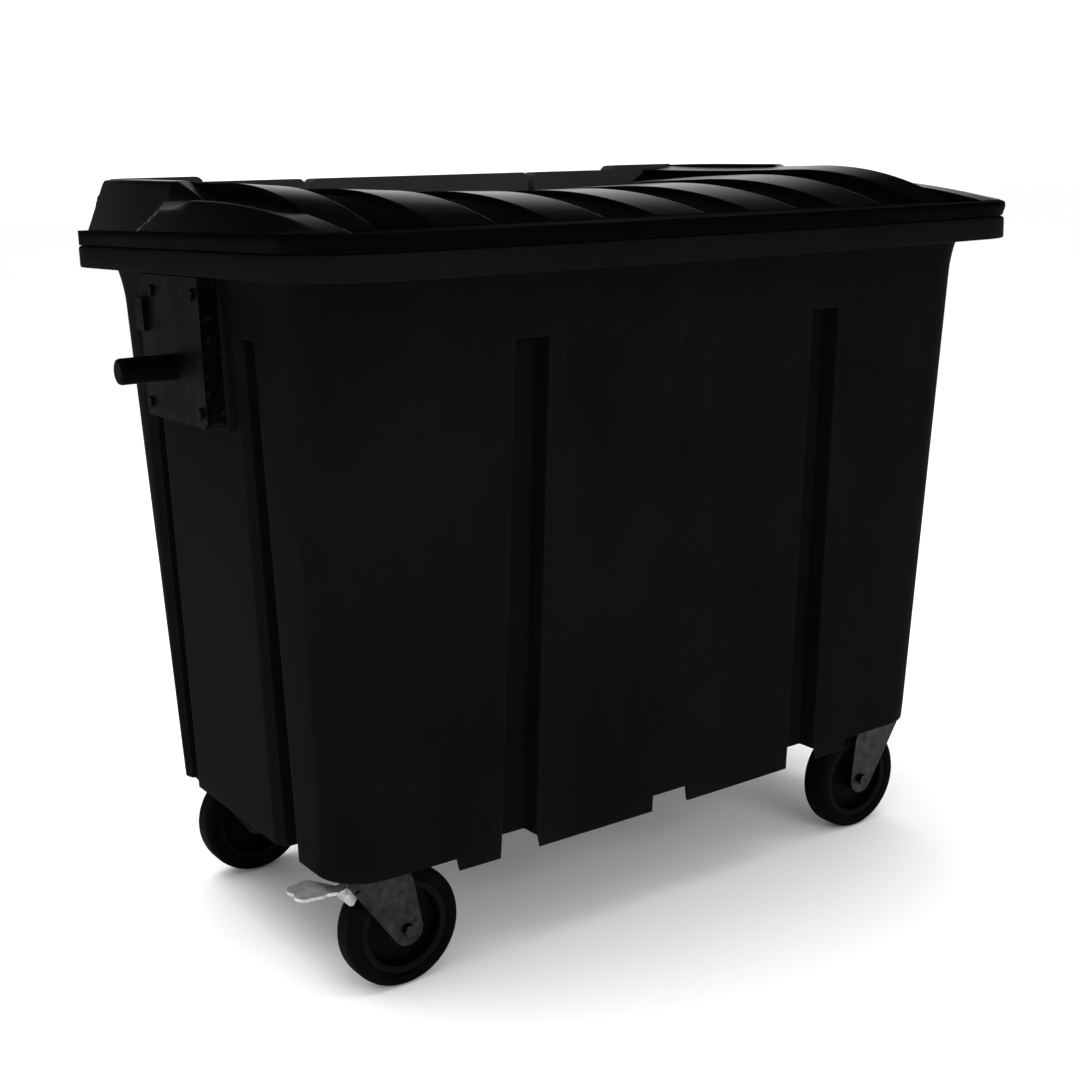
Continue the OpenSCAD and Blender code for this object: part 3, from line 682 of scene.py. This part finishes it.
def build_light():
    """White studio: a bright backdrop behind the object, and darker overhead in reflections."""
    world = bpy.data.worlds.new("studio")
    bpy.context.scene.world = world
    world.use_nodes = True
    nodes, links = world.node_tree.nodes, world.node_tree.links
    background = nodes["Background"]
    background.inputs["Color"].default_value = (1, 1, 1, 1)
    path = nodes.new("ShaderNodeLightPath")
    split = nodes.new("ShaderNodeSeparateXYZ")
    direction = nodes.new("ShaderNodeTexCoord").outputs["Generated"]
    links.new(direction, split.inputs["Vector"])

    def ranged(value, from_min, from_max, to_min, to_max):
        node = nodes.new("ShaderNodeMapRange")
        for key, number in (("From Min", from_min), ("From Max", from_max)):
            node.inputs[key].default_value = number
        for key, target in (("To Min", to_min), ("To Max", to_max)):
            if isinstance(target, float):
                node.inputs[key].default_value = target
            else:
                links.new(target, node.inputs[key])
        links.new(value, node.inputs["Value"])
        return node.outputs["Result"]

    def multiplied(a, b):
        node = nodes.new("ShaderNodeMath")
        node.operation = "MULTIPLY"
        links.new(a, node.inputs[0])
        links.new(b, node.inputs[1])
        return node.outputs["Value"]

    behind = nodes.new("ShaderNodeVectorMath")
    behind.operation = "DOT_PRODUCT"
    behind.inputs[1].default_value = (0.56, 0.83, 0)
    links.new(direction, behind.inputs[0])
    horizon = ranged(split.outputs["Z"], 0.08, 0.36, 0.8, 0.0)
    backdrop = multiplied(horizon, ranged(behind.outputs["Value"], 0.6, 0.92, 0.03, 1.0))
    reflected = ranged(path.outputs["Is Glossy Ray"], 0, 1, 0.9, backdrop)
    links.new(ranged(path.outputs["Is Camera Ray"], 0, 1, reflected, 1.3), background.inputs["Strength"])
    strip = area_light("corner strip", (-2.75, 0.35, 0.85), (-0.6, -0.35, 0.85), (0.55, 1.7), 12)
    strip.visible_diffuse = False
    front = area_light("front", (-0.3, -5.2, 2.6), (0.1, 0, 0.5), (3.0, 2.4), 110)
    front.visible_glossy = False
    top = area_light("top", (-0.4, 0.2, 4.6), (0, 0, 0.8), (4.5, 4.5), 170)
    top.visible_glossy = False
    sun = bpy.data.lights.new("sky", "SUN")
    sun.energy = 0.9
    sun.angle = math.radians(60)
    sky = bpy.data.objects.new("sky", sun)
    sky.rotation_euler = (math.radians(-22), math.radians(-14), 0)
    sky.visible_glossy = False
    bpy.context.scene.collection.objects.link(sky)


def build_camera():
    """Looks down at the front and the left side, a little tilted."""
    yaw, pitch, roll = math.radians(34.25), math.radians(-12.98), math.radians(-1.84)
    forward = Vector((math.sin(yaw) * math.cos(pitch), math.cos(yaw) * math.cos(pitch), math.sin(pitch)))
    right = Vector((math.cos(yaw), -math.sin(yaw), 0))
    up = right.cross(forward)
    r2 = right * math.cos(roll) + up * math.sin(roll)
    u2 = up * math.cos(roll) - right * math.sin(roll)
    data = bpy.data.cameras.new("camera")
    data.sensor_width = 36
    data.lens = 52.2
    camera = bpy.data.objects.new("camera", data)
    turn = Matrix((r2, u2, -forward)).transposed().to_4x4()
    camera.matrix_world = Matrix.Translation((-1.5585, -2.2304, 1.2202)) @ turn
    bpy.context.scene.collection.objects.link(camera)
    bpy.context.scene.camera = camera


build_tub()
build_pads()
build_lid()
finish_cad_nodes()
build_stage()
build_light()
build_camera()
bpy.context.scene.view_settings.view_transform = "Standard"

bpy.context.view_layer.update()
